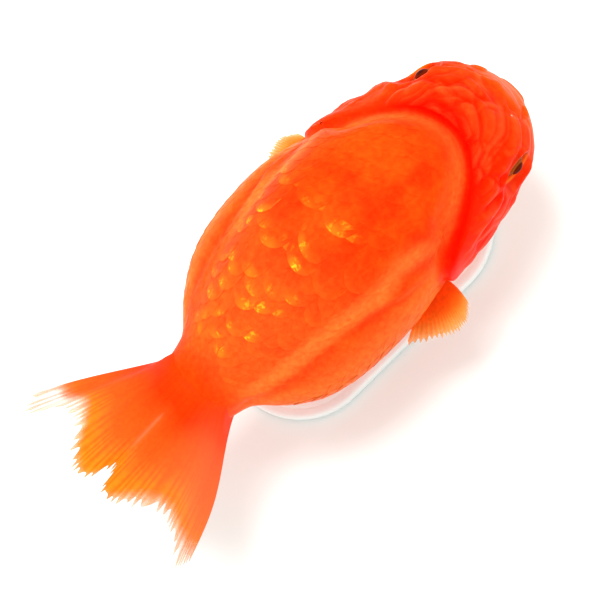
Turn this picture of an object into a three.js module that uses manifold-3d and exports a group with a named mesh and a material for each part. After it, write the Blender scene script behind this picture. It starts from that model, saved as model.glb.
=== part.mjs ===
/*
 * A ranchu goldfish at life size, held by a plain display stand.
 *
 * Units are millimetres. +X points to the snout, +Y to the fish's left side and +Z up. The origin is
 * the middle of the stand base's underside. A "station" is a distance behind the tip of the snout.
 *
 * The body is one rounded form, parted by thin cuts where a person would name its parts.
 */
import * as THREE from "three";
import Module from "manifold-3d";
import { mergeVertices } from "three/addons/utils/BufferGeometryUtils.js";

const wasm = await Module();
wasm.setup();

// ---- driving dimensions -------------------------------------------------------------------------

const SNOUT_X = 58;
const GAP = 0.3;
const SPINE_HEIGHT = 50;

// The fish's gentle sway: how far its middle line lies to the left of the stand's.
// Rows: station, offset to the left.
const SWAY_ROWS = [
  [0, -1.5],
  [13, -1.2],
  [24, -0.5],
  [36, 0.5],
  [46, 1.1],
  [60, 1.2],
  [76, 0.7],
  [88, 0.1],
  [97, 0],
  [108, -0.1],
  [140, -0.4],
];

// Head: a blunt box of flesh, widest at the gill covers.
// Rows: station, top height, underside height, half width.
const HEAD_ROWS = [
  [0, 64, 43.5, 14.2],
  [6, 68, 40.5, 15.6],
  [13, 70.3, 36.8, 17.6],
  [22, 71.2, 32.8, 20.8],
  [30, 71, 30.2, 23.0],
  [42, 70, 28, 25.2],
  [48, 69, 27, 25.4],
];
const HEAD_END = 46;
const HEAD_SQUARENESS = 2.5;
const HEAD_RINGS = 19;
const HEAD_SEGMENTS = 40;
const SNOUT_ROUNDING = 12;

// Trunk and tail stalk. The back is a dome, and the belly bulges out below it, so that a crease runs
// along each flank where the two meet.
// Rows: station, back height, underside height, half width of the back, half width of the belly.
const TRUNK_ROWS = [
  [12, 64, 39, 13.5, 11.0],
  [16, 67.5, 36.2, 16.5, 14.0],
  [20, 71.6, 33.9, 19.5, 17.5],
  [26, 75.6, 30.9, 21.2, 20.8],
  [34, 78.4, 28, 22.2, 22.8],
  [44, 79.8, 25.3, 22.4, 24.6],
  [55, 80, 24.6, 21.8, 26.8],
  [66, 78.4, 25.2, 20.4, 27.0],
  [76, 75, 28, 18.6, 25.9],
  [84, 70.8, 32.2, 16.6, 23.2],
  [91, 66.3, 37, 14.2, 18.4],
  [97, 62.5, 40.6, 12.0, 12.7],
  [103, 59.8, 42.2, 10.6, 10.6],
  [108, 58.6, 42.8, 9.6, 9.6],
];
const TRUNK_START = 12;
const TRUNK_RINGS = 27;
const TRUNK_SEGMENTS = 34;
const STALK_START = 95;
const STALK_END = 106;
const BACK_SQUARENESS = 2.3;
const BELLY_SQUARENESS = 2.1;
const BELLY_SHOULDER = 0.72;

// Nape: seen from above, the trunk's front is the end of an ellipse pushed into the head, a little to
// its right. Below the middle height the ellipse slides forwards, which gives the gill covers their
// round lower edge.
const NAPE_CENTRE = 60;
const NAPE_LENGTH = 40.8;
const NAPE_HALF_WIDTH = 22.5;
const NAPE_SHIFT = -1;
const NAPE_LIP_DROP = 3.4;
const NAPE_LIP_WIDTH = 6.5;
const GILL_END = 43.5;
const GILL_ROUNDING = 5;
const GILL_ROUNDING_HEIGHT = 12;

// Wen: the lobed growth over the crown and cheeks.
const LOBE_ROWS = 8;
const LOBE_ROW_STEP = 5.2;
const LOBE_FIRST_STATION = 5;
const LOBE_WIDTH = 7.5;
const LOBE_RADIUS = 4.4;
const LOBE_HEIGHT = 1.7;
const CROWN_FLOOR = 60.5;
const CHEEK_START = 21;

// Eyes look outwards, a little up and forwards.
const EYE_RADIUS = 4.5;
const EYE_STATION = 14;
const EYE_HALF_SPACING = 12.9;
const EYE_HEIGHT = 57;

// Mouth: small, at the front, with the lower jaw as its own piece.
const MOUTH_HEIGHT = 48.2;
const JAW_LENGTH = 11;
const JAW_HALF_WIDTH = 8;

// Fins.
const FIN_EDGE_THICKNESS = 0.55;
const TAIL_ROOT_THICKNESS = 5;
const PAIRED_ROOT_THICKNESS = 1.5;

// Stand.
const BASE_LENGTH = 82;
const BASE_WIDTH = 40;
const BASE_THICKNESS = 5;
const BASE_EDGE_ROUNDING = 1;
const ROD_RADIUS = 2;
const ROD_STATIONS = { stand_rod_front: 33, stand_rod_back: 73 };

// ---- colours ------------------------------------------------------------------------------------

const material = (color, roughness, metalness = 0) =>
  new THREE.MeshStandardMaterial({ color, roughness, metalness });

const wenRed = material(0xf2421c, 0.5);
const bodyOrange = material(0xf8560f, 0.4);
const finOrange = material(0xff8432, 0.45);
const eyeDark = material(0x2a1408, 0.1);
const baseWhite = material(0xf2f2f0, 0.45);
const rodSteel = material(0xb8babd, 0.3, 1);

// ---- helpers ------------------------------------------------------------------------------------

// Smooth value of one column of a table of rows at a station.
function valueAt(rows, column, station) {
  const last = rows.length - 1;
  const passed = rows.filter((row) => row[0] < station).length;
  const next = THREE.MathUtils.clamp(passed, 1, last);
  const [before, start, end, after] = [next - 2, next - 1, next, next + 1].map(
    (index) => rows[Math.min(Math.max(index, 0), last)],
  );
  const slope = (a, b) => (b[0] === a[0] ? 0 : (b[column] - a[column]) / (b[0] - a[0]));
  const span = end[0] - start[0];
  const t = THREE.MathUtils.clamp((station - start[0]) / span, 0, 1);
  const startSlope = slope(before, end) * span;
  const endSlope = slope(start, after) * span;
  const drop = start[column] - end[column];
  return start[column] + startSlope * t
    - (3 * drop + 2 * startSlope + endSlope) * t ** 2
    + (2 * drop + startSlope + endSlope) * t ** 3;
}

// A point of the fish from its station, its distance to the left of the middle line and its height.
const at = (station, left, height) =>
  new THREE.Vector3(SNOUT_X - station, left + valueAt(SWAY_ROWS, 1, station), height);

// Distance from the centre to the edge of a squarish oval, in one direction.
const ovalRadius = (angle, halfWidth, halfHeight, squareness) =>
  (Math.abs(Math.cos(angle) / halfWidth) ** squareness
    + Math.abs(Math.sin(angle) / halfHeight) ** squareness) ** (-1 / squareness);

// A triangle mesh as a solid that can be cut and joined.
function solidFrom(geometry) {
  const bare = geometry.clone();
  bare.deleteAttribute("normal");
  bare.deleteAttribute("uv");
  const merged = mergeVertices(bare, 1e-4);
  return new wasm.Manifold(new wasm.Mesh({
    numProp: 3,
    vertProperties: new Float32Array(merged.attributes.position.array),
    triVerts: new Uint32Array(merged.index.array),
  }));
}

function geometryFrom(solid) {
  const mesh = solid.getMesh();
  const geometry = new THREE.BufferGeometry();
  geometry.setAttribute("position", new THREE.BufferAttribute(new Float32Array(mesh.vertProperties), 3));
  geometry.setIndex(new THREE.BufferAttribute(new Uint32Array(mesh.triVerts), 1));
  geometry.computeVertexNormals();
  return geometry;
}

// A closed solid from a grid of points: rings closed on themselves, joined end to end, with a point
// at each end.
function ringSolid(rings, frontPoint, backPoint) {
  const points = [frontPoint, ...rings.flat(), backPoint];
  const around = rings[0].length;
  const backIndex = points.length - 1;
  const triangles = [];
  for (let i = 0; i < around; i += 1) {
    const j = (i + 1) % around;
    triangles.push(0, 1 + i, 1 + j);
    for (let ring = 0; ring < rings.length - 1; ring += 1) {
      const near = 1 + ring * around;
      const far = near + around;
      triangles.push(near + i, far + i, far + j);
      triangles.push(near + i, far + j, near + j);
    }
    const lastRing = 1 + (rings.length - 1) * around;
    triangles.push(backIndex, lastRing + j, lastRing + i);
  }
  const geometry = new THREE.BufferGeometry().setFromPoints(points);
  geometry.setIndex(triangles);
  return solidFrom(geometry);
}

// A box between two stations, two sides and two heights.
function region(stations, lefts, heights) {
  const size = [stations, lefts, heights].map(([low, high]) => high - low);
  const box = new THREE.BoxGeometry(...size);
  const middle = [stations, lefts, heights].map(([low, high]) => (low + high) / 2);
  box.translate(SNOUT_X - middle[0], middle[1], middle[2]);
  return solidFrom(box);
}

// An upright column whose outline, seen from above, is an ellipse.
function ellipseColumn(station, halfLength, halfWidth) {
  const column = new THREE.CylinderGeometry(1, 1, 120, 40);
  column.rotateX(Math.PI / 2);
  column.scale(halfLength, halfWidth, 1);
  column.translate(SNOUT_X - station, 0, SPINE_HEIGHT);
  return solidFrom(column);
}

// The points of one ring, in the turning sense that leaves the solid's faces pointing out.
function ringOf(count, pointAt) {
  return Array.from({ length: count }, (_, i) => pointAt((i / count) * 2 * Math.PI));
}

// ---- head ---------------------------------------------------------------------------------------

// Height of the wen's lobes over the plain head: staggered rows of low round cushions.
function lobeHeight(station, angle, radius) {
  let height = 0;
  for (let row = 0; row < LOBE_ROWS; row += 1) {
    const rowStation = LOBE_FIRST_STATION + row * LOBE_ROW_STEP;
    const step = LOBE_WIDTH / radius;
    const shift = (row % 2) / 2;
    const nearest = Math.round((angle - Math.PI / 2) / step - shift) + shift;
    const across = (angle - Math.PI / 2 - nearest * step) * radius;
    const distance = Math.hypot(station - rowStation, across) / LOBE_RADIUS;
    height = Math.max(height, LOBE_HEIGHT * (1 - distance ** 2));
  }
  return height;
}

function headPoint(station, angle, grow) {
  const nose = Math.sqrt(1 - Math.max(0, 1 - station / SNOUT_ROUNDING) ** 2);
  const top = valueAt(HEAD_ROWS, 1, station) - SPINE_HEIGHT;
  const underside = SPINE_HEIGHT - valueAt(HEAD_ROWS, 2, station);
  const halfWidth = valueAt(HEAD_ROWS, 3, station);
  const halfHeight = Math.sin(angle) > 0 ? top : underside;
  const plain = nose * ovalRadius(angle, halfWidth, halfHeight, HEAD_SQUARENESS);
  const crown = THREE.MathUtils.smoothstep(Math.sin(angle), -0.5, 0.1);
  const behindMouth = THREE.MathUtils.smoothstep(station, 2, 9);
  const lobes = lobeHeight(station, angle, halfWidth) * crown * behindMouth;
  const radius = plain + lobes - LOBE_HEIGHT / 2 * crown * behindMouth + grow;
  return at(station, radius * Math.cos(angle), SPINE_HEIGHT + radius * Math.sin(angle));
}

function headSolid(grow = 0) {
  const rings = [];
  for (let ring = 1; ring <= HEAD_RINGS; ring += 1) {
    const station = HEAD_END * (ring / HEAD_RINGS) ** 1.4;
    rings.push(ringOf(HEAD_SEGMENTS, (angle) => headPoint(station, angle, grow)));
  }
  return ringSolid(rings, at(-grow, 0, SPINE_HEIGHT), at(HEAD_END, 0, SPINE_HEIGHT));
}

// ---- trunk and tail stalk -----------------------------------------------------------------------

// Distance ahead of the nape's edge as seen from above, or less than 0 behind it.
function aheadOfNape(station, left) {
  const forwards = Math.max(0, NAPE_CENTRE - station) / NAPE_LENGTH;
  const sideways = (left - NAPE_SHIFT) / NAPE_HALF_WIDTH;
  const reach = Math.hypot(forwards, sideways);
  const steepness = Math.hypot(forwards / NAPE_LENGTH, sideways / NAPE_HALF_WIDTH);
  return ((reach - 1) * reach) / Math.max(steepness, 1e-6);
}

function trunkPoint(station, angle, grow) {
  const top = valueAt(TRUNK_ROWS, 1, station) - SPINE_HEIGHT;
  const underside = SPINE_HEIGHT - valueAt(TRUNK_ROWS, 2, station);
  const backHalf = valueAt(TRUNK_ROWS, 3, station);
  const bellyHalf = valueAt(TRUNK_ROWS, 4, station);
  const upward = Math.sin(angle) > 0;
  const back = ovalRadius(angle, backHalf, upward ? top : underside, BACK_SQUARENESS);
  const bellyHeight = upward ? top * BELLY_SHOULDER : underside;
  const belly = ovalRadius(angle, bellyHalf, bellyHeight, BELLY_SQUARENESS);
  const radius = Math.max(back, belly) + grow;
  const point = at(station, radius * Math.cos(angle), SPINE_HEIGHT + radius * Math.sin(angle));
  const ahead = aheadOfNape(station, radius * Math.cos(angle));
  const besideGill = 1 - THREE.MathUtils.smoothstep(station, GILL_END - 8, GILL_END + 2);
  const lip = THREE.MathUtils.smoothstep(ahead, -NAPE_LIP_WIDTH, 0) * besideGill;
  point.z -= upward ? NAPE_LIP_DROP * lip * Math.sin(angle) : 0;
  return point;
}

function trunkSolid(grow = 0) {
  const rings = [];
  for (let ring = 0; ring <= TRUNK_RINGS; ring += 1) {
    const station = TRUNK_START + (STALK_END - TRUNK_START) * (ring / TRUNK_RINGS);
    rings.push(ringOf(TRUNK_SEGMENTS, (angle) => trunkPoint(station, angle, grow)));
  }
  const front = at(TRUNK_START, 0, SPINE_HEIGHT);
  return ringSolid(rings, front, at(STALK_END + 1.5, 0, SPINE_HEIGHT + 1));
}

// Everything behind the nape and the gill covers: an upright column with a round front, whose sides
// run straight back past the tail.
function napeSolid(grow) {
  const rings = [];
  const frontPoints = 28;
  for (const height of [0, 26, 32, 37, 42, 50, 57, 62, 120]) {
    const fromMiddle = (height - SPINE_HEIGHT) / GILL_ROUNDING_HEIGHT;
    const rounding = Math.min(GILL_ROUNDING * fromMiddle ** 2, 1.6 * GILL_ROUNDING);
    const gillEnd = GILL_END - rounding - grow;
    const slide = fromMiddle < 0 ? rounding : 0;
    const outline = [at(200, 60 + grow, height), at(gillEnd, 60 + grow, height)];
    for (let i = 0; i <= frontPoints; i += 1) {
      const angle = Math.PI / 2 - (i / frontPoints) * Math.PI;
      const station = NAPE_CENTRE - slide - (NAPE_LENGTH + grow) * Math.cos(angle);
      const left = NAPE_SHIFT + (NAPE_HALF_WIDTH + grow) * Math.sin(angle);
      outline.push(at(Math.min(station, gillEnd), left, height));
    }
    outline.push(at(gillEnd, -60 - grow, height), at(200, -60 - grow, height));
    rings.push(outline);
  }
  return ringSolid(rings, at(100, 0, 0), at(100, 0, 120));
}

// ---- fins ---------------------------------------------------------------------------------------

// A thin curved fin between a root line and a margin line. Both are followed from u = 0 to u = 1, and
// "bow" lifts the blade between them. Their points hold a station, a distance to the left and a height.
function finSolid({ rootAt, marginAt, bowAt, rootThickness, across, along }) {
  const blade = (u, v) => {
    const straight = rootAt(u).lerp(marginAt(u), v).add(bowAt(u, v));
    return at(straight.x, straight.y, straight.z);
  };
  const sides = [1, -1].map((side) => {
    const rows = [];
    for (let i = 0; i <= across; i += 1) {
      for (let j = 0; j <= along; j += 1) {
        const u = i / across;
        const v = j / along;
        const step = 0.01;
        const acrossWay = blade(Math.min(u + step, 1), v).sub(blade(Math.max(u - step, 0), v));
        const alongWay = blade(u, Math.min(v + step, 1)).sub(blade(u, Math.max(v - step, 0)));
        const normal = acrossWay.cross(alongWay).normalize();
        const thickness = FIN_EDGE_THICKNESS + (rootThickness - FIN_EDGE_THICKNESS) * (1 - v) ** 4;
        rows.push(blade(u, v).addScaledVector(normal, (side * thickness) / 2));
      }
    }
    return rows;
  });
  const width = along + 1;
  const offset = sides[0].length;
  const triangles = [];
  for (let i = 0; i < across; i += 1) {
    for (let j = 0; j < along; j += 1) {
      const corner = i * width + j;
      triangles.push(corner, corner + width, corner + width + 1, corner, corner + width + 1, corner + 1);
      const lower = corner + offset;
      triangles.push(lower, lower + width + 1, lower + width, lower, lower + 1, lower + width + 1);
    }
  }
  const wall = (a, b) => triangles.push(a, b, b + offset, a, b + offset, a + offset);
  for (let i = 0; i < across; i += 1) {
    wall((i + 1) * width, i * width);
    wall(i * width + along, (i + 1) * width + along);
  }
  for (let j = 0; j < along; j += 1) {
    wall(j, j + 1);
    wall(across * width + j + 1, across * width + j);
  }
  const geometry = new THREE.BufferGeometry().setFromPoints([...sides[0], ...sides[1]]);
  geometry.setIndex(triangles);
  return solidFrom(geometry);
}

// The mirror image of a fin's description, on the fish's other side.
function mirrored(fin) {
  const flip = (vector) => vector.setY(-vector.y);
  return {
    ...fin,
    rootAt: (u) => flip(fin.rootAt(1 - u)),
    marginAt: (u) => flip(fin.marginAt(1 - u)),
    bowAt: (u, v) => flip(fin.bowAt(1 - u, v)),
  };
}

// Each half of the double tail runs from the ridge on the midline, u = 0, over the upper lobe and the
// fork to the lower lobe and the leading edge, u = 1. The right half is a little more worn.
const spot = (station, left, height) => new THREE.Vector3(station, left, height);
const leftTailMargin = new THREE.CatmullRomCurve3([
  spot(131.5, 0.4, 55),
  spot(138.8, 3.8, 56),
  spot(136.8, 9.5, 54.5),
  spot(131, 15.5, 51.5),
  spot(131.5, 21.3, 48.5),
  spot(139.5, 27.6, 45.5),
  spot(134.8, 30.2, 44),
]);
const rightTailMargin = new THREE.CatmullRomCurve3([
  spot(131.5, 0.4, 55),
  spot(138.3, 3.2, 56),
  spot(134.8, 9, 54.5),
  spot(130.5, 15.5, 51.5),
  spot(133.5, 21.5, 48.5),
  spot(138, 26.8, 45.5),
  spot(135, 27.6, 44),
]);
const leftTail = {
  rootAt: (u) => {
    const turn = (u * Math.PI) / 2;
    return spot(103.5 - 2 * u, 0.4 + 7 * Math.sin(turn), 46 + 10 * Math.cos(turn));
  },
  marginAt: (u) => leftTailMargin.getPoint(u),
  bowAt: (u, v) => spot(0, 1.2 * u * Math.sin(Math.PI * v), 1.5 * Math.sin(Math.PI * v ** 0.8)),
  rootThickness: TAIL_ROOT_THICKNESS,
  across: 12,
  along: 7,
};
const rightTail = mirrored({
  ...leftTail,
  marginAt: (u) => rightTailMargin.getPoint(u),
  bowAt: (u, v) => spot(0, 3 * u * Math.sin(Math.PI * v) ** 1.4, 1.5 * Math.sin(Math.PI * v ** 0.8)),
});

const pectoralMargin = new THREE.CatmullRomCurve3([
  spot(43, 30.5, 36.5),
  spot(47, 33.3, 35.5),
  spot(52.5, 32, 34.5),
  spot(61, 26.5, 34),
]);
const leftPectoral = {
  rootAt: (u) => spot(43 + 7 * u, 20.5, 38.5 - 2 * u),
  marginAt: (u) => pectoralMargin.getPoint(u),
  bowAt: (u, v) => spot(-0.6, 0, 1).multiplyScalar(1.2 * Math.sin(Math.PI * v)),
  rootThickness: PAIRED_ROOT_THICKNESS,
  across: 9,
  along: 6,
};

const pelvicMargin = new THREE.CatmullRomCurve3([
  spot(57, 19, 23.5),
  spot(63, 19.5, 22),
  spot(67, 16, 21.5),
  spot(67, 11, 22.5),
]);
const leftPelvic = {
  rootAt: (u) => spot(49 + 3 * u, 9 - 3 * u, 27.5 - 0.5 * u),
  marginAt: (u) => pelvicMargin.getPoint(u),
  bowAt: (u, v) => spot(0, 0, -1.3 * Math.sin(Math.PI * v)),
  rootThickness: PAIRED_ROOT_THICKNESS,
  across: 8,
  along: 6,
};

const analMargin = new THREE.CatmullRomCurve3([
  spot(96, 5, 29.5),
  spot(103, 6.5, 30.5),
  spot(105.5, 5.8, 34),
  spot(102, 4.2, 38.5),
]);
const leftAnal = {
  rootAt: (u) => spot(87 + 8 * u, 1.8 + 0.5 * u, 36 + 5.5 * u),
  marginAt: (u) => analMargin.getPoint(u),
  bowAt: (u, v) => spot(0, 0.6 * Math.sin(Math.PI * v), 0),
  rootThickness: PAIRED_ROOT_THICKNESS,
  across: 7,
  along: 5,
};

// ---- cutting the body into its parts ------------------------------------------------------------

const fish = new THREE.Group();

function addPiece(name, solid, look) {
  const mesh = new THREE.Mesh(geometryFrom(solid), look);
  mesh.name = name;
  fish.add(mesh);
}

const behindNape = napeSolid(0);
const behindNapeClearance = napeSolid(GAP);

const sockets = [];
for (const [side, name] of [[1, "eye_left"], [-1, "eye_right"]]) {
  const centre = at(EYE_STATION, side * EYE_HALF_SPACING, EYE_HEIGHT);
  const socket = new THREE.SphereGeometry(EYE_RADIUS + GAP, 14, 10);
  socket.translate(...centre);
  sockets.push(solidFrom(socket));
  const ball = new THREE.SphereGeometry(EYE_RADIUS, 14, 9);
  ball.translate(...centre);
  addPiece(name, solidFrom(ball), eyeDark);
}

const wholeHead = headSolid()
  .subtract(behindNapeClearance)
  .subtract(sockets[0])
  .subtract(sockets[1]);
const jawColumn = ellipseColumn(0, JAW_LENGTH, JAW_HALF_WIDTH);
const jawClearance = ellipseColumn(0, JAW_LENGTH + GAP, JAW_HALF_WIDTH + GAP);
const belowMouth = region([-5, 30], [-30, 30], [0, MOUTH_HEIGHT - GAP]);
const belowMouthClearance = region([-5, 30], [-30, 30], [0, MOUTH_HEIGHT]);
const crown = region([-5, 60], [-40, 40], [CROWN_FLOOR + GAP, 120]);
const face = region([-5, CHEEK_START - GAP], [-40, 40], [0, CROWN_FLOOR]);

addPiece("wen_crown", wholeHead.intersect(crown), wenRed);
addPiece("head", wholeHead.intersect(face).subtract(jawClearance.intersect(belowMouthClearance)), wenRed);
addPiece("lower_jaw", wholeHead.intersect(jawColumn).intersect(belowMouth), wenRed);
for (const [lefts, name] of [[[0, 40], "gill_cover_left"], [[-40, 0], "gill_cover_right"]]) {
  addPiece(name, wholeHead.intersect(region([CHEEK_START, 60], lefts, [0, CROWN_FLOOR])), wenRed);
}

const wholeTrunk = trunkSolid().intersect(behindNape);
const trunkRegion = region([0, STALK_START - GAP], [-60, 60], [0, 120]);
const stalkRegion = region([STALK_START, 130], [-60, 60], [0, 120]);
addPiece("trunk", wholeTrunk.intersect(trunkRegion), bodyOrange);
addPiece("tail_stalk", wholeTrunk.intersect(stalkRegion), bodyOrange);

// Fins and rods stop just short of the body.
const bodyClearance = trunkSolid(GAP).add(headSolid(GAP).subtract(behindNapeClearance));
const tailSway = valueAt(SWAY_ROWS, 1, 120);
const leftHalf = region([0, 200], [tailSway + GAP / 2, 60], [0, 120]);
const rightHalf = region([0, 200], [-60, tailSway - GAP / 2], [0, 120]);
const fins = {
  tail_fin: [leftTail, rightTail],
  pectoral_fin: [leftPectoral, mirrored(leftPectoral)],
  pelvic_fin: [leftPelvic, mirrored(leftPelvic)],
  anal_fin: [leftAnal, mirrored(leftAnal)],
};
for (const [name, [left, right]] of Object.entries(fins)) {
  addPiece(`${name}_left`, finSolid(left).subtract(bodyClearance).intersect(leftHalf), finOrange);
  addPiece(`${name}_right`, finSolid(right).subtract(bodyClearance).intersect(rightHalf), finOrange);
}

// ---- stand --------------------------------------------------------------------------------------

// The base is a flat plate with round ends and a small rounding on its upper edge.
const endRadius = BASE_WIDTH / 2 - BASE_EDGE_ROUNDING;
const straightHalf = (BASE_LENGTH - BASE_WIDTH) / 2;
const plateOutline = new THREE.Shape();
plateOutline.absarc(straightHalf, 0, endRadius, -Math.PI / 2, Math.PI / 2);
plateOutline.absarc(-straightHalf, 0, endRadius, Math.PI / 2, (3 * Math.PI) / 2);
const plate = new THREE.ExtrudeGeometry(plateOutline, {
  depth: BASE_THICKNESS - 2 * BASE_EDGE_ROUNDING,
  bevelThickness: BASE_EDGE_ROUNDING,
  bevelSize: BASE_EDGE_ROUNDING,
  bevelSegments: 1,
  curveSegments: 10,
});
plate.translate(0, 0, BASE_EDGE_ROUNDING);
addPiece("stand_base", solidFrom(plate), baseWhite);

for (const [name, station] of Object.entries(ROD_STATIONS)) {
  const rod = new THREE.CylinderGeometry(ROD_RADIUS, ROD_RADIUS, SPINE_HEIGHT, 20);
  rod.rotateX(Math.PI / 2);
  rod.translate(SNOUT_X - station, 0, BASE_THICKNESS + SPINE_HEIGHT / 2);
  addPiece(name, solidFrom(rod).subtract(bodyClearance), rodSteel);
}

export default fish;
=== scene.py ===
import math

import bpy
import numpy as np
from mathutils import Matrix, Vector


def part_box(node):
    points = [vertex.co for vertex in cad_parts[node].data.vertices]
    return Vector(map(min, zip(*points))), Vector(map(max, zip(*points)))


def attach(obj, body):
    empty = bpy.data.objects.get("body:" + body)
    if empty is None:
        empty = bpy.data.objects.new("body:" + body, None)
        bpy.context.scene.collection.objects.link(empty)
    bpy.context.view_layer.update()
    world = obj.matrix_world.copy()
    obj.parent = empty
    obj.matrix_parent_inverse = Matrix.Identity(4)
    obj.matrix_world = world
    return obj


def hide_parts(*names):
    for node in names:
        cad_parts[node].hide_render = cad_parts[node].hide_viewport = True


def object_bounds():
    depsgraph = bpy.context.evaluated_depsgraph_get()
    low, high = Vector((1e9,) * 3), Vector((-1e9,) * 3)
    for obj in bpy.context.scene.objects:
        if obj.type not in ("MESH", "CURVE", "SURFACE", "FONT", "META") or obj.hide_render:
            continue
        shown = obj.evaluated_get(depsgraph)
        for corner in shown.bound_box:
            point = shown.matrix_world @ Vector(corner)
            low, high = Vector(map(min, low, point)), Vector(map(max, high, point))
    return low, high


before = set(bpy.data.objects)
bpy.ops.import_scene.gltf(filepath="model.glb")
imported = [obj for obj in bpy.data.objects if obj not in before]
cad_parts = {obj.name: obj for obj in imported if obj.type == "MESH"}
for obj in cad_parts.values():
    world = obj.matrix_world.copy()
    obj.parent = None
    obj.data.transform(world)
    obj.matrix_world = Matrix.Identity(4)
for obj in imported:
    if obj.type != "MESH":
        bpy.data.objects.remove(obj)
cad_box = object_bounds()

# ---- Camera, floor and light --------------------------------------------------------------------
# The fish is seen from almost straight above, a little from its right side, with its head to the
# upper right. The floor is white and runs out of view. One soft lamp hangs over the fish's left
# side and the room's warm white light fills the rest, so a soft shadow falls to the right.
MM = 0.001
VIEW_WIDTH = 142.9 * MM
CAMERA_DISTANCE = 0.55
CAMERA_ELEVATION = math.radians(78)
CAMERA_ROLL = math.radians(44.5)
AIM_BEHIND_SNOUT, AIM_LEFT = 71.4, -2.0
SENSOR = 36.0
EYE_ABOVE_SPINE = 7

eye_low, eye_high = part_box("eye_left")
snout_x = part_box("head")[1].x / MM
spine_z = (eye_low.z + eye_high.z) / 2 / MM - EYE_ABOVE_SPINE

aim = Vector(((snout_x - AIM_BEHIND_SNOUT) * MM, AIM_LEFT * MM, spine_z * MM))
towards_camera = Vector((0, -math.cos(CAMERA_ELEVATION), math.sin(CAMERA_ELEVATION)))
camera_data = bpy.data.cameras.new("camera")
camera_data.sensor_width = SENSOR
camera_data.lens = SENSOR * CAMERA_DISTANCE / VIEW_WIDTH
camera_data.clip_start = 0.01
camera = bpy.data.objects.new("camera", camera_data)
bpy.context.scene.collection.objects.link(camera)
tilt = Matrix.Rotation(math.pi / 2 - CAMERA_ELEVATION, 4, "X")
roll = Matrix.Rotation(-CAMERA_ROLL, 4, "Z")
camera.matrix_world = Matrix.Translation(aim + towards_camera * CAMERA_DISTANCE) @ tilt @ roll
bpy.context.scene.camera = camera
bpy.context.scene.view_settings.view_transform = "Standard"


def new_material(name):
    """A node material with an output, and functions that add its nodes and finish it."""
    material = bpy.data.materials.new(name)
    material.use_nodes = True
    tree = material.node_tree
    tree.nodes.clear()
    output = tree.nodes.new("ShaderNodeOutputMaterial")

    def add(kind, settings=None, **sockets):
        node = tree.nodes.new("ShaderNode" + kind)
        for key, value in (settings or {}).items():
            setattr(node, key, value)
        for key, value in sockets.items():
            by_number = key[0] == "i" and key[1:].isdigit()
            socket = node.inputs[int(key[1:]) if by_number else key.replace("_", " ")]
            if isinstance(value, bpy.types.NodeSocket):
                tree.links.new(value, socket)
            else:
                socket.default_value = value
        return node

    def finish(shader):
        tree.links.new(shader.outputs[0], output.inputs["Surface"])
        return material

    return add, finish


def new_piece(name, points, faces, material=None, smooth=True, crisp=None):
    """A mesh object from points in millimetres, with crisp edges past an angle in degrees."""
    mesh = bpy.data.meshes.new(name)
    mesh.from_pydata((np.asarray(points, float) * MM).tolist(), [], faces)
    mesh.update()
    if smooth:
        mesh.shade_smooth()
    if crisp:
        mesh.set_sharp_from_angle(angle=math.radians(crisp))
    piece = bpy.data.objects.new(name, mesh)
    bpy.context.scene.collection.objects.link(piece)
    if material is not None:
        mesh.materials.append(material)
    return piece


FLOOR_HALF = 3000
floor_z = cad_box[0][2] / MM
corners = [(-1, -1), (1, -1), (1, 1), (-1, 1)]
add, finish = new_material("floor_white")
floor_white = finish(add("BsdfPrincipled", Base_Color=(0.91, 0.955, 0.945, 1), Roughness=0.7,
                         Specular_IOR_Level=0.2))
floor = new_piece("floor", [(x * FLOOR_HALF, y * FLOOR_HALF, floor_z) for x, y in corners],
                  [(0, 1, 2, 3)], floor_white, smooth=False)

world = bpy.data.worlds.new("room")
bpy.context.scene.world = world
world.use_nodes = True
room_light = world.node_tree.nodes["Background"]
room_light.inputs["Color"].default_value = (0.95, 1.0, 0.97, 1)
room_light.inputs["Strength"].default_value = 1.05

lamp_data = bpy.data.lights.new("key", "AREA")
lamp_data.size = 0.30
lamp_data.energy = 7.0
lamp_data.color = (1.0, 0.97, 0.97)
lamp = bpy.data.objects.new("key", lamp_data)
bpy.context.scene.collection.objects.link(lamp)
lamp.location = (0.04, 0.20, 0.88)
lamp.rotation_euler = (aim - lamp.location).to_track_quat("-Z", "Y").to_euler()

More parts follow.
